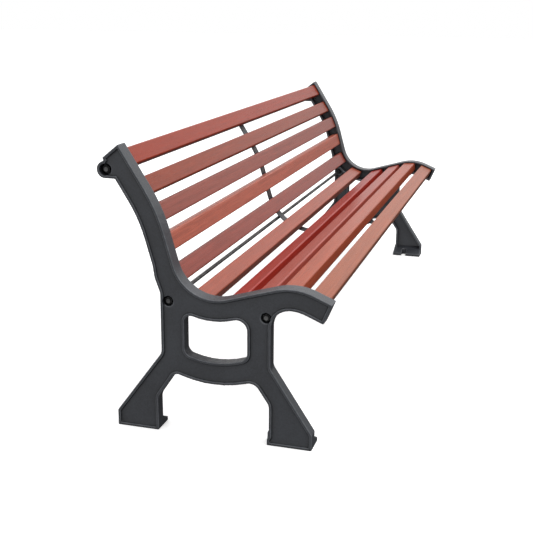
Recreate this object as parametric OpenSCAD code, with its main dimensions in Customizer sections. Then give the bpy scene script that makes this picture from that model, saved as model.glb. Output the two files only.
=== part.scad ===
// Garden bench. Two cast end frames carry ten timber slats along one flowing line:
// down the back, round the bend, over the seat and over the front edge.
// Tie rods pull the frames together and a steel strap joins the slats at mid length.
// X runs along the bench, the front faces -Y, and Z is up from the ground.
// Side views are drawn as [forward, up], with forward counted from the back of the feet.

/* [Bench] */
// Overall length over the two end frames
bench_length = 2200; // [1600:50:2600]
// Width of a cast frame, seen from the front
frame_w = 45; // [42:1:55]

/* [Seat line] */
// Distance of the line's top end forward of the back of the feet
top_forward = 29; // [20:1:40]
// Height of the line's top end
top_up = 812; // [790:1:840]
// Slope of the upper back, in degrees from level
upper_slope = 57.7; // [56:0.1:60]
// Straight run of the upper back
upper_run = 140; // [130:1:150]
// Radius of the gentle curve behind the waist
waist_r = 450; // [420:5:480]
// Turn of that curve, in degrees
waist_turn = 16.2; // [14:0.1:18]
// Straight run between the waist and the bend
lower_run = 91; // [80:1:100]
// Radius of the bend between back and seat
bend_r = 119; // [112:1:130]
// Turn of the bend, in degrees
bend_turn = 90.2; // [88:0.1:92]
// Straight run of the seat
seat_run = 141; // [130:1:150]
// Radius of the roll over the front of the seat
nose_r = 166; // [155:1:180]
// Turn of the roll, in degrees
nose_turn = 38.9; // [36:0.1:42]
// Straight run at the front end
nose_run = 52; // [45:1:60]

/* [Castings] */
// Depth of the frame's beam behind the seat line
beam_d = 60.5; // [57:0.5:62]
// Thickness of the flanges
flange_t = 8; // [7:0.5:9]
// Thickness of the web
web_t = 7; // [5:0.5:9]
// Depth that the web is set back from the outer face
web_recess = 7; // [4:0.5:8]
// Width of the rims round the legs and the window
rim_w = 36; // [32:1:40]
// Height of the foot flange at the web
foot_top = 38; // [34:1:40]
// Height of the foot flange just inside the rim
foot_t = 29; // [22:1:32]
// Height of the foot flange at its inner end
foot_edge_t = 12; // [8:1:14]
// Reach of the foot flange from the outer face
foot_reach = 70; // [60:1:80]
// Width of the open anchor slot in each foot
slot_w = 20; // [14:1:22]

/* [Slats] */
// Width of a slat
slat_w = 52; // [46:1:54]
// Thickness of a slat
slat_t = 35; // [28:1:36]
// Radius of a slat's long edges
slat_edge_r = 5; // [2:0.5:8]
// Gap between a slat and the flange in front of it
slat_gap = 0.4; // [0.2:0.1:1]
// Gap between a slat's end and the web
slat_end_gap = 2; // [1:0.5:4]

/* [Steel parts] */
// Diameter of the tie rods
rod_d = 12; // [10:1:12]
// Width of the centre strap
strap_w = 42; // [30:1:60]
// Depth of the centre strap behind the seat line
strap_d = 56.5; // [50:0.5:60]
// Thickness of the centre strap
strap_t = 5; // [3:0.5:6]
// Diameter of the slat screws
screw_d = 8; // [6:1:8]
// Depth that a screw reaches into a slat
screw_bite = 24; // [16:1:26]

/* [Hidden] */
$fn = 48;
// Largest turn of one step along a round stretch, in degrees
step_turn = 4;
// Points of an outline closer than this count as one
smallest_step = 0.05;
overlap = 0.5;
// Length that a hole's cutter runs on past a surface
clear = 1;

// Legs and window of the frame, all as [forward, up]
rear_leg_back = 139.5;
rear_leg_front = 208.5;
front_leg_back = 389.5;
front_leg_front = 455.5;
front_shin_back = 452;
rear_foot_l = 126;
front_foot_back = 446.5;
front_foot_front = 575;
foot_side_up = 46;
// The front foot's back corner is bevelled up to the leg
front_foot_heel_up = 16;
front_foot_neck_up = 26;
rear_knee_up = 236;
rear_elbow = [139.5, 411];
rear_shoulder = [124.3, 452];
rear_beam_end = 345;
elbow_r = 35;
rear_inner_knee_up = 102;
front_knee_up = 226;
front_inner_knee_up = 118;
knee_r = 28;
crossbar_top_centre = [295, 461];
crossbar_top_r = 236;
crossbar_under_centre = [295, 480];
crossbar_under_r = 320;
crossbar_half = 90;
crossbar_rear_corner = [178.5, 181];
crossbar_rear_r = 20;
crossbar_front_corner = [408, 183];
crossbar_front_r = 30;
window_low_r = 24;
window_rear_r = 20;
window_front_r = 29;
window_top_r = 200;
window_top_centre = [292, 543.5];
arch_r = 55;
// The top end is cut back by this much at the back of the beam
top_slant = 7;
ear_at = 37.5;
ear_out = 11.8;
ear_r = 23.6;
ear_neck = 3;
ear_neck_turn = 10;
rear_rod = [160, 387];
front_rod = [440.5, 366.5];

// Slat centres, as distances along the seat line from its top end
slat_at = [38, 128, 212, 299, 386, 467, 559, 644, 722, 811];
// The screws of the eighth slat stand forward of the front tie rod
screw_shift = [0, 0, 0, 0, 0, 0, 0, 16, 0, 0];
SLATS = [
    "back_slat_1", "back_slat_2", "back_slat_3", "back_slat_4", "back_slat_5",
    "bend_slat", "seat_slat_1", "seat_slat_2", "seat_slat_3", "front_slat"
];

// Standard fastener sizes, as shares of the thread's diameter
hexagon_share = 0.94;
nut_height_share = 0.84;
head_height_share = 0.66;
rod_hole_r = rod_d / 2 + 0.5;
rod_nut_r = hexagon_share * rod_d;
rod_nut_t = nut_height_share * rod_d;
rod_washer_r = rod_d;
rod_washer_t = 2.5;
screw_head_r = hexagon_share * screw_d;
screw_head_t = head_height_share * screw_d;
screw_washer_r = screw_d;
screw_washer_t = 1.6;
screw_clearance = 0.3;

// Pockets for the outer nuts, bosses round them, and where the fasteners stand
pocket_r = rod_washer_r + 2.5;
pocket_floor = 24;
pocket_floor_t = 8;
rod_boss_r = pocket_r + 5;
// The ear's pocket trims the flange round it, and its boss ends inside that flange
ear_pocket_r = ear_r - flange_t + 0.6;
ear_boss_r = ear_r - flange_t / 2;
rod_end_inset = 9;
spot_face_r = screw_washer_r + 1.5;
spot_face_d = 0.5;
spot_face_reach = 8;
screw_x = 30;
pad_l = 40;
pad_inset = 1;
strap_pad_l = 36;
strap_end = 20;
slot_centre = 46;
rear_slot_at = rear_foot_l / 2;
front_slot_at = 497;
RODS = [rear_rod, front_rod];

// The seat line as legs of [length, turn]; a positive turn curves upwards
function arc_length(r, turn) = r * turn * PI / 180;
LINE = [
    [upper_run, 0],
    [arc_length(waist_r, waist_turn), -waist_turn],
    [lower_run, 0],
    [arc_length(bend_r, bend_turn), bend_turn],
    [seat_run, 0],
    [arc_length(nose_r, nose_turn), -nose_turn],
    [nose_run, 0]
];
NOSE = 5;
function leg_start(i) = i == 0 ? 0 : leg_start(i - 1) + LINE[i - 1][0];
function leg_slope(i) = i == 0 ? -upper_slope : leg_slope(i - 1) + LINE[i - 1][1];
function leg_point(i) =
    i == 0 ? [top_forward, top_up] : travel(leg_point(i - 1), leg_slope(i - 1), LINE[i - 1]);
// The point reached from p by one leg that sets off at slope h
function travel(p, h, leg) =
    leg[1] == 0 ? p + leg[0] * [cos(h), sin(h)]
    : let (r = leg[0] / (leg[1] * PI / 180), e = h + leg[1])
        p + r * [sin(e) - sin(h), cos(h) - cos(e)];
line_length = leg_start(len(LINE));

function leg_at(a, i = 0) =
    i == len(LINE) - 1 || a < leg_start(i + 1) ? i : leg_at(a, i + 1);
function slope(a) = let (i = leg_at(a)) leg_slope(i) + LINE[i][1] * (a - leg_start(i)) / LINE[i][0];
// The point at distance a along the line and depth d behind it
function line_point(a, d = 0) =
    let (
        i = leg_at(a),
        part = (a - leg_start(i)) / LINE[i][0],
        h = slope(a)
    )
    travel(leg_point(i), leg_slope(i), LINE[i] * part) + d * [sin(h), -cos(h)];
LINE_STOPS = [
    for (i = [0 : len(LINE) - 1])
        let (n = ceil(max(1, abs(LINE[i][1]) / step_turn)))
            for (k = [0 : n - 1]) leg_start(i) + LINE[i][0] * k / n
];
function stops(a0, a1) =
    concat([a0], [for (a = LINE_STOPS) if (a > a0 + overlap && a < a1 - overlap) a], [a1]);
function run_of_line(a0, a1, d) = [for (a = stops(a0, a1)) line_point(a, d)];
function reversed(v) = [for (i = [len(v) - 1 : -1 : 0]) v[i]];

function unit(v) = v / norm(v);
function right_of(v) = [v[1], -v[0]];
// Points round a centre from angle t0 to angle t1
function arc(c, r, t0, t1) =
    let (n = ceil(abs(t1 - t0) / step_turn / 2 + 1))
        [for (k = [0 : n]) c + r * [cos(t0 + (t1 - t0) * k / n), sin(t0 + (t1 - t0) * k / n)]];
// The corner b between a and c, rounded with radius r
function rounded(a, b, c, r) =
    let (
        u = unit(a - b),
        v = unit(c - b),
        half = acos(u * v) / 2,
        centre = b + unit(u + v) * r / sin(half),
        from = b + u * r / tan(half) - centre,
        to = b + v * r / tan(half) - centre,
        t0 = atan2(from[1], from[0]),
        turn = atan2(to[1], to[0]) - t0,
        short = turn > 180 ? turn - 360 : turn < -180 ? turn + 360 : turn
    )
    arc(centre, r, t0, t0 + short);
// A closed loop, moved by d to the right of its direction of travel
function shifted(loop, d) =
    let (n = len(loop)) [
        for (i = [0 : n - 1])
            let (
                p = loop[i],
                before = right_of(unit(p - loop[(i + n - 1) % n])),
                after = right_of(unit(loop[(i + 1) % n] - p)),
                m = before + after
            )
            p + m * 2 * d / (m * m)
    ];
function distinct(loop) =
    let (n = len(loop)) [
        for (i = [0 : n - 1]) if (norm(loop[i] - loop[(i + n - 1) % n]) > smallest_step) loop[i]
    ];

// Ear for the top tie rod, behind the upper back
ear = line_point(ear_at, beam_d + ear_out);
ear_meet = sqrt(ear_r * ear_r - ear_out * ear_out);
ear_top_at = ear_at - ear_meet;
ear_top = line_point(ear_top_at, beam_d);
ear_top_angle = atan2(ear_top[1] - ear[1], ear_top[0] - ear[0]);
ear_foot_at = (line_point(0, beam_d)[1] - ear[1] + ear_r) / sin(upper_slope);

// Arch in front of the front leg: it rolls out of the underside of the seat beam
nose_centre = leg_point(NOSE) + nose_r * [sin(leg_slope(NOSE)), -cos(leg_slope(NOSE))];
arch_gap = nose_r - beam_d - arch_r;
arch_angle = acos((front_leg_front + arch_r - nose_centre[0]) / arch_gap);
arch_centre = nose_centre + arch_gap * [cos(arch_angle), sin(arch_angle)];
arch_at = leg_start(NOSE) + nose_r * (leg_slope(NOSE) + 90 - arch_angle) * PI / 180;

// Ends of the round stretch under the cross bar: the front one is side 1, the rear one -1
crossbar_angle = asin(crossbar_half / crossbar_under_r);
function crossbar_under(side) =
    crossbar_under_centre + crossbar_under_r * [side * sin(crossbar_angle), -cos(crossbar_angle)];

// Outline of a frame, clockwise from the top end of the seat line
OUTLINE = distinct(concat(
    run_of_line(0, line_length, 0),
    reversed(run_of_line(arch_at, line_length, beam_d)),
    arc(arch_centre, arch_r, arch_angle, 180),
    rounded([front_leg_front, front_rod[1]], [front_leg_front, front_knee_up],
        [front_foot_front, foot_side_up], knee_r),
    [[front_foot_front, foot_side_up], [front_foot_front, 0]],
    [[front_foot_back, 0], [front_foot_back, front_foot_heel_up]],
    [[front_shin_back, front_foot_neck_up]],
    rounded([front_shin_back, front_foot_neck_up], [front_shin_back, front_inner_knee_up],
        crossbar_front_corner, knee_r),
    rounded([front_shin_back, front_inner_knee_up], crossbar_front_corner,
        crossbar_under(1), crossbar_front_r),
    arc(crossbar_under_centre, crossbar_under_r, crossbar_angle - 90, -crossbar_angle - 90),
    rounded(crossbar_under(-1), crossbar_rear_corner,
        [rear_foot_l, rear_inner_knee_up], crossbar_rear_r),
    rounded(crossbar_rear_corner, [rear_foot_l, rear_inner_knee_up], [rear_foot_l, 0], knee_r),
    [[rear_foot_l, 0], [0, 0], [0, foot_side_up]],
    rounded([0, foot_side_up], [rear_leg_back, rear_knee_up], rear_elbow, knee_r),
    rounded([rear_leg_back, rear_knee_up], rear_elbow, rear_shoulder, elbow_r),
    [rear_shoulder],
    reversed(run_of_line(ear_foot_at, rear_beam_end, beam_d)),
    arc(ear, ear_r, 270, ear_top_angle + ear_neck_turn),
    [line_point(ear_top_at - ear_neck, beam_d), line_point(top_slant, beam_d)]
));

// Round corner of the window: it touches an upright side and a bowed side
function window_corner(side, turn_in, r, bow, bow_r) =
    let (
        x = side + turn_in * r,
        dx = x - bow[0]
    )
    [x, bow[1] - sqrt(bow_r * bow_r - dx * dx)];
low_bow_r = crossbar_top_r - window_low_r;
window_tl = window_corner(rear_leg_front, 1, window_rear_r, window_top_centre,
    window_top_r + window_rear_r);
window_tr = window_corner(front_leg_back, -1, window_front_r, window_top_centre,
    window_top_r + window_front_r);
window_bl = window_corner(rear_leg_front, 1, window_low_r, crossbar_top_centre, low_bow_r);
window_br = window_corner(front_leg_back, -1, window_low_r, crossbar_top_centre, low_bow_r);
function angle_to(p, q) = atan2(q[1] - p[1], q[0] - p[0]);

// Window between the legs, anticlockwise from its lower left corner
WINDOW = distinct(concat(
    arc(window_bl, window_low_r, -180, angle_to(crossbar_top_centre, window_bl)),
    arc(crossbar_top_centre, crossbar_top_r, angle_to(crossbar_top_centre, window_bl),
        angle_to(crossbar_top_centre, window_br)),
    arc(window_br, window_low_r, angle_to(crossbar_top_centre, window_br), 0),
    arc(window_tr, window_front_r, 0, angle_to(window_tr, window_top_centre)),
    arc(window_top_centre, window_top_r, angle_to(window_top_centre, window_tr),
        angle_to(window_top_centre, window_tl)),
    arc(window_tl, window_rear_r, angle_to(window_tl, window_top_centre), 180)
));

// Centre of the bench, front to back
back_y = (ear[0] - ear_r + line_point(line_length)[0]) / 2;

slat_x = bench_length / 2 - web_recess - web_t - slat_end_gap;
// Height that the seat line rises above a slat's middle, at the slat's own edges
function edge_rise(a) =
    let (p = line_point(a), h = slope(a))
        max(0, (line_point(a - slat_w / 2) - p) * [-sin(h), cos(h)],
            (line_point(a + slat_w / 2) - p) * [-sin(h), cos(h)]);
function slat_front(i) = flange_t + slat_gap + edge_rise(slat_at[i]);
function slat_back(i) = slat_front(i) + slat_t;

// Draws a side view between two places along the bench
module side_view(x0, x1) {
    translate([x0, back_y, 0])
        rotate([90, 0, 90])
            linear_extrude(x1 - x0)
                mirror([1, 0])
                    children();
}

// Draws a side view square to the seat line at distance a
module square_to_line(a) {
    translate(line_point(a))
        rotate(slope(a))
            children();
}

// Stands children on the seat line at distance a, with Z straight out of it
module on_line(x, a) {
    p = line_point(a);
    translate([x, back_y - p[0], p[1]])
        rotate([-slope(a), 0, 0])
            children();
}

// A round bar or hole along the bench, at a point of the side view
module crosswise(p, r, x0, x1) {
    translate([x0, back_y - p[0], p[1]])
        rotate([0, 90, 0])
            cylinder(r = r, h = x1 - x0);
}

module band(a0, a1, d0, d1) {
    polygon(concat(run_of_line(a0, a1, d0), reversed(run_of_line(a0, a1, d1))));
}

// Everything behind the beam: the legs, the arch and the ear
module behind_beam() {
    polygon(concat(
        run_of_line(-pad_l, line_length + pad_l, beam_d + overlap),
        [[line_point(line_length)[0] + pad_l, -pad_l], [-top_up, -pad_l]]
    ));
}

module web() {
    difference() {
        polygon(OUTLINE);
        polygon(WINDOW);
    }
}

module edge_flange() {
    difference() {
        polygon(OUTLINE);
        polygon(shifted(OUTLINE, flange_t));
    }
}

module window_flange() {
    difference() {
        polygon(shifted(WINDOW, flange_t));
        polygon(WINDOW);
    }
}

// Foot flange that reaches inwards, with an anchor slot open at its inner end
module foot(x0, from, to, slot_at) {
    difference() {
        translate([x0, back_y - from, 0])
            rotate([90, 0, 0])
                linear_extrude(to - from)
                    polygon([
                        [web_recess, 0], [foot_reach, 0], [foot_reach, foot_edge_t],
                        [rim_w, foot_t], [web_recess + web_t, foot_top], [web_recess, foot_top]
                    ]);
        translate([x0 + slot_centre, back_y - slot_at, -clear])
            cylinder(r = slot_w / 2, h = foot_top + 2 * clear);
        translate([x0 + slot_centre, back_y - slot_at - slot_w / 2, -clear])
            cube([foot_reach, slot_w, foot_top + 2 * clear]);
    }
}

module end_frame() {
    x0 = -bench_length / 2;
    web_x = x0 + web_recess;
    boss_x = x0 + pocket_floor + pocket_floor_t;
    color([0.2, 0.21, 0.22])
    difference() {
        union() {
            side_view(web_x, web_x + web_t) web();
            // The flange is narrower round the legs than round the beam
            difference() {
                side_view(x0, x0 + frame_w) edge_flange();
                side_view(x0 + rim_w, x0 + frame_w + clear) behind_beam();
            }
            side_view(x0, x0 + rim_w) window_flange();
            // Rib under the slats, right across the tops of the legs
            side_view(web_x, x0 + frame_w)
                band(top_slant + overlap, line_length - overlap, beam_d - flange_t - overlap, beam_d);
            // Pad behind each slat
            for (i = [0 : len(slat_at) - 1])
                side_view(web_x, x0 + frame_w - pad_inset)
                    square_to_line(slat_at[i])
                        translate([-pad_l / 2, -beam_d + overlap])
                            square([pad_l, beam_d - overlap - slat_back(i)]);
            for (p = RODS)
                crosswise(p, rod_boss_r, web_x, boss_x);
            crosswise(ear, ear_boss_r, web_x, boss_x);
            foot(x0, 0, rear_foot_l, rear_slot_at);
            foot(x0, front_foot_back, front_foot_front, front_slot_at);
        }
        for (p = RODS)
            crosswise(p, pocket_r, x0 - clear, x0 + pocket_floor);
        crosswise(ear, ear_pocket_r, x0 - clear, x0 + pocket_floor);
        for (p = concat([ear], RODS))
            crosswise(p, rod_hole_r, x0, x0 + frame_w + clear);
        for (i = [0 : len(slat_at) - 1])
            on_line(x0 + screw_x, slat_at[i] + screw_shift[i]) {
                translate([0, 0, -beam_d - overlap])
                    cylinder(r = screw_d / 2 + screw_clearance, h = beam_d - flange_t);
                translate([0, 0, -beam_d - spot_face_reach + spot_face_d])
                    cylinder(r = spot_face_r, h = spot_face_reach);
            }
    }
}
module left_end_frame() { end_frame(); }
module right_end_frame() { mirror([1, 0, 0]) end_frame(); }

SCREW_X = [-bench_length / 2 + screw_x, 0, bench_length / 2 - screw_x];

module slat_section() {
    r = slat_edge_r;
    polygon(concat(
        arc([slat_w / 2 - r, -r], r, 90, 0),
        arc([slat_w / 2 - r, r - slat_t], r, 0, -90),
        arc([r - slat_w / 2, r - slat_t], r, -90, -180),
        arc([r - slat_w / 2, -r], r, 180, 90)
    ));
}

module slat(i) {
    color([0.55, 0.24, 0.2])
    difference() {
        side_view(-slat_x, slat_x)
            square_to_line(slat_at[i])
                translate([0, -slat_front(i)])
                    slat_section();
        for (x = SCREW_X)
            on_line(x, slat_at[i] + screw_shift[i])
                translate([0, 0, -slat_back(i) - clear])
                    cylinder(r = screw_d / 2 + screw_clearance, h = screw_bite + 2 * clear);
    }
}

// Strap behind the slats at mid length, with a pad under each slat
module centre_strap() {
    color([0.2, 0.21, 0.22])
    difference() {
        union() {
            side_view(-strap_w / 2, strap_w / 2)
                band(slat_at[0] - strap_end, slat_at[9] + strap_end, strap_d, strap_seat);
            for (i = [0 : len(slat_at) - 1])
                side_view(-strap_w / 2, strap_w / 2)
                    square_to_line(slat_at[i])
                        translate([-strap_pad_l / 2, -strap_d - overlap])
                            square([strap_pad_l, strap_d + overlap - slat_back(i)]);
        }
        for (i = [0 : len(slat_at) - 1])
            on_line(0, slat_at[i] + screw_shift[i])
                translate([0, 0, -strap_seat - clear])
                    cylinder(r = screw_d / 2 + screw_clearance, h = strap_seat);
    }
}

module tie_rod(p) {
    color([0.45, 0.46, 0.47])
        crosswise(p, rod_d / 2, rod_end_inset - bench_length / 2, bench_length / 2 - rod_end_inset);
}
module top_tie_rod() { tie_rod(ear); }
module rear_tie_rod() { tie_rod(rear_rod); }
module front_tie_rod() { tie_rod(front_rod); }

// A ring round each end of each rod, from x0 to x0 + t behind the outer face
module on_rod_ends(x0, t, r, sides) {
    for (p = [ear, rear_rod, front_rod], side = [0, 1])
        mirror([side, 0, 0])
            translate([x0 - bench_length / 2, back_y - p[0], p[1]])
                rotate([0, 90, 0])
                    difference() {
                        cylinder(r = r, h = t, $fn = sides);
                        translate([0, 0, -clear])
                            cylinder(r = rod_d / 2, h = t + 2 * clear);
                    }
}
inner_face = pocket_floor + pocket_floor_t;
module outer_rod_nuts() {
    color([0.35, 0.36, 0.37])
        on_rod_ends(pocket_floor - rod_washer_t - rod_nut_t, rod_nut_t, rod_nut_r, 6);
}
module outer_rod_washers() {
    color([0.5, 0.51, 0.52])
        on_rod_ends(pocket_floor - rod_washer_t, rod_washer_t, rod_washer_r, $fn);
}
module inner_rod_nuts() {
    color([0.35, 0.36, 0.37])
        on_rod_ends(inner_face + rod_washer_t, rod_nut_t, rod_nut_r, 6);
}
module inner_rod_washers() {
    color([0.5, 0.51, 0.52])
        on_rod_ends(inner_face, rod_washer_t, rod_washer_r, $fn);
}

// One hex-headed screw, driven outwards into a slat through a seat at depth d
module slat_screw(i, x, d) {
    on_line(x, slat_at[i] + screw_shift[i]) {
        translate([0, 0, -d - screw_washer_t - screw_head_t])
            cylinder(r = screw_head_r, h = screw_head_t, $fn = 6);
        translate([0, 0, -d - screw_washer_t - overlap])
            cylinder(r = screw_d / 2, h = d + screw_washer_t + overlap - slat_back(i) + screw_bite);
    }
}
module screw_washer(i, x, d) {
    on_line(x, slat_at[i] + screw_shift[i])
        translate([0, 0, -d - screw_washer_t])
            difference() {
                cylinder(r = screw_washer_r, h = screw_washer_t);
                translate([0, 0, -clear])
                    cylinder(r = screw_d / 2, h = screw_washer_t + 2 * clear);
            }
}
frame_seat = beam_d - spot_face_d;
strap_seat = strap_d + strap_t;
module screws(x, d) {
    color([0.6, 0.6, 0.6])
        for (i = [0 : len(slat_at) - 1])
            slat_screw(i, x, d);
}
module washers(x, d) {
    color([0.7, 0.7, 0.7])
        for (i = [0 : len(slat_at) - 1])
            screw_washer(i, x, d);
}
module left_slat_screws() { screws(SCREW_X[0], frame_seat); }
module left_screw_washers() { washers(SCREW_X[0], frame_seat); }
module centre_slat_screws() { screws(SCREW_X[1], strap_seat); }
module centre_screw_washers() { washers(SCREW_X[1], strap_seat); }
module right_slat_screws() { screws(SCREW_X[2], frame_seat); }
module right_screw_washers() { washers(SCREW_X[2], frame_seat); }

left_end_frame();
right_end_frame();
for (i = [0 : len(SLATS) - 1])
    slat(i);
centre_strap();
top_tie_rod();
rear_tie_rod();
front_tie_rod();
outer_rod_nuts();
outer_rod_washers();
inner_rod_nuts();
inner_rod_washers();
left_slat_screws();
left_screw_washers();
right_slat_screws();
right_screw_washers();
centre_slat_screws();
centre_screw_washers();
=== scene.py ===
import math

import bmesh
import bpy
from mathutils import Matrix, Vector


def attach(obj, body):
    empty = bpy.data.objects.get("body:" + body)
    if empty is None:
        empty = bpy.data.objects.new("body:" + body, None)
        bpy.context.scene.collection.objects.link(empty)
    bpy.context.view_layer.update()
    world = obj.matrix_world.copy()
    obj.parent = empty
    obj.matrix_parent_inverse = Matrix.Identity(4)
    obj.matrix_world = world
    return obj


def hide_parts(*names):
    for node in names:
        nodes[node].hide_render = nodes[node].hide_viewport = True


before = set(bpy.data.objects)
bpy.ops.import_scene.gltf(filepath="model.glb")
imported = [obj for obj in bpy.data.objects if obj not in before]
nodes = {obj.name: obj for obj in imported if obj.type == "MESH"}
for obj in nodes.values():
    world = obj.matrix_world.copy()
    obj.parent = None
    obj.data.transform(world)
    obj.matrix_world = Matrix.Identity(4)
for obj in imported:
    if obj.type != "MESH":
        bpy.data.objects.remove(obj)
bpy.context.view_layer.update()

# The garden bench in metres: X along the bench, the front faces -Y, Z up.

# Each slat's colour, as red, green and blue: partly its own stain, which varies from slat to slat, and
# partly painted light, matched to how light and sheen fall on each slat (seat_slat_1 darker and redder)
STAIN_AND_LIGHT_TONES = {
    "back_slat_1": (0.285, 0.030, 0.009),
    "back_slat_2": (0.240, 0.038, 0.014),
    "back_slat_3": (0.262, 0.064, 0.044),
    "back_slat_4": (0.410, 0.108, 0.068),
    "back_slat_5": (0.258, 0.055, 0.038),
    "bend_slat": (0.325, 0.072, 0.040),
    "seat_slat_1": (0.320, 0.020, 0.010),
    "seat_slat_2": (0.340, 0.062, 0.042),
    "seat_slat_3": (0.342, 0.066, 0.028),
    "front_slat": (0.300, 0.078, 0.034),
}

# Grain of the mould or the paint, which rounds every edge of a piece by about its own size
CAST_GRAIN = 0.0017
STRAP_GRAIN = 0.0011
SMOOTH_PASSES = 3
TRIANGLES_KEPT = 0.40

# How strongly a bend in a casting's surface counts as an edge or a groove, and where that starts
LEAN_GAIN = 6.0
LEAN_START = 0.1

# Radius of the rounding on each kind of edge
NUT_ROUND = 0.0008
WASHER_ROUND = 0.0004
ROUND_SEGMENTS = 3
# A point whose edges lean away from its normal by more than this lies on an outward rounding
OUTWARD = -0.05

# Points closer than this are one point
WELD = 0.00002
# Faces that turn less than FLAT are one face, edges above SHARP are rounded, and those above CREASE
# shade as edges
FLAT = math.radians(0.6)
SHARP = math.radians(28)
CREASE = math.radians(38)


# ---------------------------------------------------------------- shader maths


class Field:
    """One output of a shader node. Sums and products with it add Math nodes."""

    def __init__(self, shader, socket):
        self.shader = shader
        self.socket = socket

    def math(self, operation, *inputs):
        return self.shader.node("ShaderNodeMath", {"operation": operation}, dict(enumerate(inputs)))

    def __add__(self, other):
        return self.math("ADD", self, other)

    def __sub__(self, other):
        return self.math("SUBTRACT", self, other)

    def __rsub__(self, other):
        return self.math("SUBTRACT", other, self)

    def __mul__(self, other):
        return self.math("MULTIPLY", self, other)

    __radd__ = __add__
    __rmul__ = __mul__

    def smaller(self, other):
        return self.math("MINIMUM", self, other)

    def sibling(self, name):
        """Another output of the same node."""
        return Field(self.shader, self.socket.node.outputs[name])

    def step(self, low, high):
        """0 below low, 1 above high, and smooth in between."""
        return self.shader.node(
            "ShaderNodeMapRange",
            {"interpolation_type": "SMOOTHSTEP"},
            {"Value": self, "From Min": low, "From Max": high, "To Min": 0.0, "To Max": 1.0},
        )


class Shader:
    """A material under construction."""

    @classmethod
    def on(cls, tree):
        """The same helpers on a tree of nodes that isn't a material's."""
        made = cls.__new__(cls)
        made.tree = tree
        tree.nodes.clear()
        return made

    def __init__(self, name):
        self.material = bpy.data.materials.new(name)
        self.material.use_nodes = True
        self.tree = self.material.node_tree
        self.tree.nodes.clear()

    def node(self, kind, settings=None, inputs=None, output=0):
        """Adds a node, sets it and joins it, and returns one of its outputs."""
        made = self.tree.nodes.new(kind)
        for name, value in (settings or {}).items():
            setattr(made, name, value)
        for name, value in (inputs or {}).items():
            self.feed(made.inputs[name], value)
        return Field(self, made.outputs[output]) if made.outputs else None

    def feed(self, socket, value):
        if isinstance(value, Field):
            self.tree.links.new(value.socket, socket)
        else:
            socket.default_value = value

    def place(self, scale=(1, 1, 1), shift=(0, 0, 0)):
        """The piece's own coordinates, scaled and moved."""
        here = self.node("ShaderNodeTexCoord", output="Object")
        return self.node(
            "ShaderNodeMapping",
            {"vector_type": "POINT"},
            {"Vector": here, "Location": shift, "Scale": scale},
        )

    def noise(self, vector, scale, detail=2.0, roughness=0.5, distortion=0.0):
        return self.node(
            "ShaderNodeTexNoise",
            {"noise_dimensions": "3D"},
            {
                "Vector": vector,
                "Scale": scale,
                "Detail": detail,
                "Roughness": roughness,
                "Distortion": distortion,
            },
        )

    def mix(self, share, a, b):
        """Colour a where share is 0, and b where it is 1."""
        made = self.tree.nodes.new("ShaderNodeMix")
        made.data_type = "RGBA"
        made.clamp_factor = True
        self.feed(made.inputs["Factor"], share)
        # Sockets 6 and 7 are the node's two colours, and output 2 is its colour
        for socket, value in ((made.inputs[6], a), (made.inputs[7], b)):
            self.feed(socket, value if isinstance(value, Field) else (*value, 1.0))
        return Field(self, made.outputs[2])

    def bump(self, height, distance):
        inputs = {"Height": height, "Distance": distance, "Strength": 1.0}
        return self.node("ShaderNodeBump", None, inputs)

    def finish(self, colour, roughness, specular=0.5, metallic=0.0, normal=None, glow=0.0):
        """Joins the fields and constants to the surface. glow is the strength of a white emission."""
        sockets = {
            "Base Color": colour,
            "Roughness": roughness,
            "Specular IOR Level": specular,
            "Metallic": metallic,
            "Emission Color": (1.0, 1.0, 1.0, 1.0),
            "Emission Strength": glow,
        }
        if normal is not None:
            sockets["Normal"] = normal
        surface = self.node("ShaderNodeBsdfPrincipled", None, sockets)
        self.node("ShaderNodeOutputMaterial", None, {"Surface": surface})
        return self.material


# ---------------------------------------------------------------- materials

CAST_DARK = (0.028, 0.030, 0.036)
CAST_LIGHT = (0.042, 0.046, 0.055)
# Pale colour of the rims: mostly painted highlight, partly like rubbed wear
CAST_WEAR_AND_HIGHLIGHT = (0.20, 0.21, 0.23)
# Dark colour of painted shade in grooves and hollows
CAST_GROOVE_SHADE = (0.008, 0.009, 0.010)


def cast_paint():
    """Satin anthracite paint over a sand-cast surface, with painted highlights along its rims (in patches
    like rubbed wear) and painted shade in its grooves and hollows.
    """
    s = Shader("cast_paint")
    p = s.place()
    cloud = s.noise(p, 9.0, 3.0)
    grit = s.noise(p, 520.0, 2.0, 0.6)
    sand = s.noise(p, 190.0, 3.0, 0.65)
    swell = s.noise(p, 45.0, 2.0)
    edge = s.node("ShaderNodeAttribute", {"attribute_name": "edge"}, output="Fac")
    # Rims made paler as painted highlight, evenly along every rim and more in patches like rubbed paint
    rubbed_and_highlit = edge * s.noise(p, 60.0, 3.0).step(0.35, 0.65)
    colour = s.mix((cloud * 0.5 + sand * 0.5).step(0.35, 0.65), CAST_DARK, CAST_LIGHT)
    colour = s.mix(rubbed_and_highlit * 0.35 + edge * 0.55, colour, CAST_WEAR_AND_HIGHLIGHT)
    # Painted shade in grooves and in hollows that ambient occlusion finds
    open_air = s.node("ShaderNodeAmbientOcclusion", {"samples": 8}, {"Distance": 0.014}, output="AO")
    groove = s.node("ShaderNodeAttribute", {"attribute_name": "groove"}, output="Fac")
    shade = (groove * 0.9 + (1.0 - open_air) * 1.4).smaller(1.0)
    colour = s.mix(shade * 0.85, colour, CAST_GROOVE_SHADE)
    rough = 0.42 + (sand - 0.5) * 0.22 + (cloud - 0.5) * 0.12
    height = grit * 0.35 + sand * 0.8 + swell * 0.8
    return s.finish(colour=colour, roughness=rough, specular=0.5, normal=s.bump(height, 0.0008))


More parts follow.
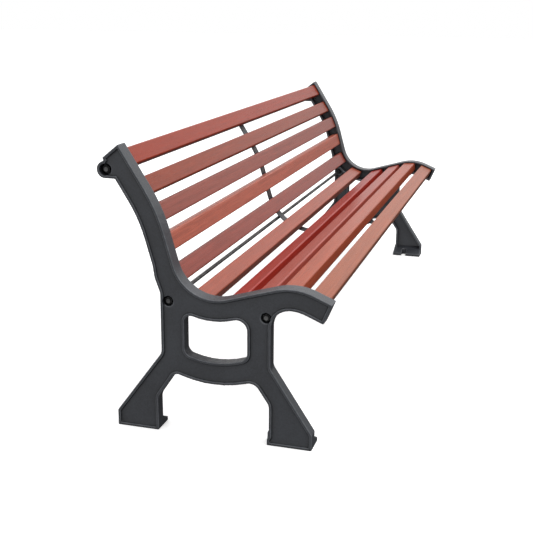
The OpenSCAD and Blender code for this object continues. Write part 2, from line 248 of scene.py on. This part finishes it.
def slat_stain(name, tone, shift):
    """Mahogany stain on straight-grained hardwood. The grain runs along X."""
    s = Shader(name)
    p = s.place(shift=shift)
    long = s.node("ShaderNodeVectorMath", {"operation": "MULTIPLY"}, {0: p, 1: (0.03, 1.0, 1.0)})
    fibre = s.noise(long, 420.0, 4.0, 0.62)
    streak = s.noise(long, 110.0, 3.0, 0.55, 0.3)
    broad = s.noise(long, 22.0, 2.0)
    fine = s.node("ShaderNodeVectorMath", {"operation": "MULTIPLY"}, {0: p, 1: (0.08, 1.0, 1.0)})
    pores = s.noise(fine, 1100.0, 2.0, 0.5).step(0.60, 0.74)
    dark = tuple(c * 0.74 for c in tone)
    light = tuple(min(1.0, c * 1.22) for c in tone)
    colour = s.mix((fibre * 0.6 + streak * 0.4).step(0.32, 0.68), dark, light)
    colour = s.mix(broad.step(0.35, 0.65) * 0.4, colour, tone)
    colour = s.mix(pores * 0.45, colour, tuple(c * 0.4 for c in tone))
    rough = 0.36 + (fibre - 0.5) * 0.18 + pores * 0.12
    height = fibre * 0.7 - pores * 0.6 + streak * 0.3
    return s.finish(colour=colour, roughness=rough, specular=0.2, normal=s.bump(height, 0.0003))


def dark_zinc():
    """Dull zinc on rods, with a faint brushed look along them."""
    s = Shader("dark_zinc")
    p = s.place(scale=(0.1, 1, 1))
    brush = s.noise(p, 900.0, 2.0)
    stain = s.noise(s.place(), 24.0, 3.0)
    colour = s.mix(stain.step(0.35, 0.65), (0.07, 0.07, 0.072), (0.16, 0.16, 0.158))
    rough = 0.42 + (brush - 0.5) * 0.2 + (stain - 0.5) * 0.15
    return s.finish(colour=colour, roughness=rough, metallic=0.7, normal=s.bump(brush, 0.0002))


def black_zinc():
    """Black passivated nuts and washers, paler along their rounded edges."""
    s = Shader("black_zinc")
    p = s.place()
    stain = s.noise(p, 60.0, 3.0)
    grain = s.noise(p, 800.0, 2.0)
    edge = s.node("ShaderNodeAttribute", {"attribute_name": "edge"}, output="Fac")
    # Near black: the nuts' own black finish, deepened as painted shade for the pockets they sit in
    colour = s.mix(stain.step(0.35, 0.65), (0.004, 0.004, 0.005), (0.010, 0.010, 0.011))
    colour = s.mix(edge * 0.3, colour, (0.08, 0.08, 0.08))
    rough = 0.5 + (grain - 0.5) * 0.2
    normal = s.bump(grain, 0.0002)
    return s.finish(colour=colour, roughness=rough, metallic=0.2, specular=0.25, normal=normal)


def bright_steel():
    """Stainless heads and washers."""
    s = Shader("bright_steel")
    p = s.place()
    spin = s.noise(p, 700.0, 2.0)
    stain = s.noise(p, 90.0, 3.0)
    colour = s.mix(stain.step(0.35, 0.7), (0.42, 0.42, 0.43), (0.30, 0.30, 0.31))
    rough = 0.32 + (spin - 0.5) * 0.2 + (stain - 0.5) * 0.1
    return s.finish(colour=colour, roughness=rough, metallic=1.0, normal=s.bump(spin, 0.0001))


def dress(obj, material):
    """Gives every slot of a piece the same material."""
    if not obj.material_slots:
        obj.data.materials.append(material)
    for slot in obj.material_slots:
        slot.material = material


# ---------------------------------------------------------------- floor, light, camera

CAMERA_AT = Vector((-3.3638, -0.82567, 1.1799))
# Degrees: clockwise from +Y, downwards, and about the line of sight
HEADING = 73.598
PITCH = 16.010
ROLL = 0.4955
LENS = 63.43
SENSOR = 36
SHIFT = (-0.0065, 0.0074)

FLOOR_HALF = 30
FLOOR_GLOW = 0.45

# Strength of the sky below and above the horizon, and of its brighter patches beyond the bench's two ends
BELOW = 0.10
ABOVE = 0.75
FAR_END = 1.00
NEAR_END = 0.85

# Each soft light's place in metres, its width, and its power in watts
SOFT_LIGHTS = {
    "overhead": ((-0.6, -1.8, 4.2), 2.6, 120),
    "behind": ((2.4, 3.0, 3.4), 2.4, 35),
}
LIGHTS_AIM = Vector((0, 0, 0.4))


def make_camera():
    heading, pitch, roll = (math.radians(a) for a in (HEADING, PITCH, ROLL))
    level = Vector((math.sin(heading), math.cos(heading), 0))
    ahead = level * math.cos(pitch) - Vector((0, 0, math.sin(pitch)))
    right = Vector((math.cos(heading), -math.sin(heading), 0))
    up = right.cross(ahead)
    across = math.cos(roll) * right + math.sin(roll) * up
    upward = -math.sin(roll) * right + math.cos(roll) * up
    camera = bpy.data.objects.new("camera", bpy.data.cameras.new("camera"))
    bpy.context.scene.collection.objects.link(camera)
    turn = Matrix((across, upward, -ahead)).transposed().to_4x4()
    camera.matrix_world = Matrix.Translation(CAMERA_AT) @ turn
    camera.data.lens = LENS
    camera.data.sensor_width = SENSOR
    camera.data.shift_x, camera.data.shift_y = SHIFT
    bpy.context.scene.camera = camera


def make_floor():
    mesh = bpy.data.meshes.new("floor")
    bm = bmesh.new()
    bmesh.ops.create_grid(bm, x_segments=1, y_segments=1, size=FLOOR_HALF)
    bm.to_mesh(mesh)
    bm.free()
    floor = bpy.data.objects.new("floor", mesh)
    bpy.context.scene.collection.objects.link(floor)
    s = Shader("pale_floor")
    mottle = s.noise(s.place(), 3.0)
    colour = s.mix(mottle, (0.93, 0.93, 0.93), (0.95, 0.95, 0.95))
    dress(floor, s.finish(colour=colour, roughness=0.9, specular=0.1, glow=FLOOR_GLOW))
    # The floor neither shows in the paint nor lights the bench from below
    floor.visible_diffuse = False
    floor.visible_glossy = False


def soft_light(name, at, size, power):
    light = bpy.data.lights.new(name, "AREA")
    light.shape, light.size, light.energy = "SQUARE", size, power
    obj = bpy.data.objects.new(name, light)
    bpy.context.scene.collection.objects.link(obj)
    obj.location = at
    obj.rotation_mode = "QUATERNION"
    obj.rotation_quaternion = (Vector(at) - LIGHTS_AIM).to_track_quat("Z", "Y")


def make_light():
    """A soft white studio: bright overhead and beyond both ends, dim below."""
    world = bpy.data.worlds.new("studio")
    world.use_nodes = True
    bpy.context.scene.world = world
    s = Shader.on(world.node_tree)
    way = s.node("ShaderNodeTexCoord", output="Generated")
    split = s.node("ShaderNodeSeparateXYZ", None, {"Vector": way})
    along, height = split.sibling("X"), split.sibling("Z")
    above = height.step(-0.15, 0.9)
    far = along.step(0.40, 0.99) * height.step(-0.05, 0.10)
    near = (0.0 - along).step(0.0, 1.0) * height.step(-0.8, -0.2) * (1.0 - height.step(0.05, 0.55))
    strength = BELOW + above * ABOVE + far * FAR_END + near * NEAR_END
    # The backdrop itself is plain white
    seen = s.node("ShaderNodeLightPath", output="Is Camera Ray")
    strength = seen + (1 - seen) * strength
    white = s.node("ShaderNodeBackground", None, {"Color": (1, 1, 1, 1), "Strength": strength})
    s.node("ShaderNodeOutputWorld", None, {"Surface": white})
    for name, (at, size, power) in SOFT_LIGHTS.items():
        soft_light(name, at, size, power)
    bpy.context.scene.view_settings.view_transform = "Standard"


# ---------------------------------------------------------------- shapes


def welded_copy(name):
    """A CAD piece's mesh, with its loose triangles joined."""
    bm = bmesh.new()
    bm.from_mesh(nodes[name].data)
    bmesh.ops.remove_doubles(bm, verts=bm.verts, dist=WELD)
    return bm


def new_piece(bm, name):
    """Turns a bmesh into an object of the scene."""
    mesh = bpy.data.meshes.new(name)
    bm.to_mesh(mesh)
    bm.free()
    piece = bpy.data.objects.new(name, mesh)
    bpy.context.scene.collection.objects.link(piece)
    return piece


def stand_for(piece, name, material):
    """Paints a piece, and puts it in the place of a CAD node."""
    dress(piece, material)
    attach(piece, "root")
    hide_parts(name)


def mark_edges(bm, rounded_faces):
    """Writes 1 to "edge" along each outward rounding."""
    edge = bm.verts.layers.float.new("edge")
    rounded_faces = set(rounded_faces)
    for vert in bm.verts:
        if vert.link_faces and all(face in rounded_faces for face in vert.link_faces):
            ways = [(e.other_vert(vert).co - vert.co).normalized() for e in vert.link_edges]
            vert[edge] = 1.0 if sum(way.dot(vert.normal) for way in ways) < OUTWARD else 0.0


def soften(name, radius, material):
    """A copy of a turned or pressed CAD piece with its sharp edges rounded."""
    bm = welded_copy(name)
    bmesh.ops.dissolve_limit(bm, angle_limit=FLAT, verts=bm.verts, edges=bm.edges)
    sharp = [e for e in bm.edges if len(e.link_faces) == 2 and e.calc_face_angle(0.0) > SHARP]
    made = bmesh.ops.bevel(
        bm, geom=sharp, offset=radius, offset_type="OFFSET", affect="EDGES", segments=ROUND_SEGMENTS,
        profile=0.5, material=-1, clamp_overlap=False, loop_slide=True,
    )
    bm.normal_update()
    mark_edges(bm, made["faces"])
    bmesh.ops.triangulate(bm, faces=[f for f in bm.faces if len(f.verts) > 4])
    piece = new_piece(bm, name + "_finished")
    piece.data.shade_smooth()
    piece.data.set_sharp_from_angle(angle=CREASE)
    weighted = piece.modifiers.new("weighted", "WEIGHTED_NORMAL")
    weighted.keep_sharp = True
    stand_for(piece, name, material)


def mark_casting(bm):
    """Writes how far each point stands out to "edge", and how far it lies in to "groove"."""
    edge = bm.verts.layers.float.new("edge")
    groove = bm.verts.layers.float.new("groove")
    for vert in bm.verts:
        ways = [(e.other_vert(vert).co - vert.co).normalized() for e in vert.link_edges]
        lean = LEAN_GAIN * sum(way.dot(vert.normal) for way in ways) / len(ways)
        vert[edge] = min(1.0, max(0.0, -lean - LEAN_START))
        vert[groove] = min(1.0, max(0.0, lean - LEAN_START))


def apply_modifier(piece, kind, **settings):
    """Changes a piece's mesh with one modifier, and leaves none on it."""
    modifier = piece.modifiers.new(kind, kind)
    for name, value in settings.items():
        setattr(modifier, name, value)
    graph = bpy.context.evaluated_depsgraph_get()
    piece.data = bpy.data.meshes.new_from_object(piece.evaluated_get(graph), depsgraph=graph)
    piece.modifiers.clear()


def cast(name, grain, material):
    """A copy of a CAD piece with every edge and corner rounded, as on a painted casting."""
    piece = new_piece(welded_copy(name), name + "_cast")
    apply_modifier(piece, "REMESH", mode="VOXEL", voxel_size=grain)
    bm = bmesh.new()
    bm.from_mesh(piece.data)
    for _ in range(SMOOTH_PASSES):
        bmesh.ops.smooth_vert(
            bm, verts=bm.verts, factor=0.5, use_axis_x=True, use_axis_y=True, use_axis_z=True
        )
    bm.normal_update()
    mark_casting(bm)
    bm.to_mesh(piece.data)
    bm.free()
    apply_modifier(piece, "DECIMATE", ratio=TRIANGLES_KEPT)
    piece.data.shade_smooth()
    stand_for(piece, name, material)


# ---------------------------------------------------------------- the bench


def make_slats():
    for i, (name, stain) in enumerate(STAIN_AND_LIGHT_TONES.items()):
        # Each slat's tone holds painted light as well as its stain
        dress(nodes[name], slat_stain("stain_" + name, stain, (0.37 * i, 0.21 * i, 0.0)))


def make_metal():
    paint, zinc, black, steel = cast_paint(), dark_zinc(), black_zinc(), bright_steel()
    cast("left_end_frame", CAST_GRAIN, paint)
    cast("right_end_frame", CAST_GRAIN, paint)
    cast("centre_strap", STRAP_GRAIN, paint)
    for name in nodes:
        if name.endswith("tie_rod"):
            dress(nodes[name], zinc)
        if name.endswith("rod_nuts"):
            soften(name, NUT_ROUND, black)
        if name.endswith("rod_washers"):
            soften(name, WASHER_ROUND, black)
        if "screw" in name:
            dress(nodes[name], steel)


make_slats()
make_metal()
make_floor()
make_light()
make_camera()
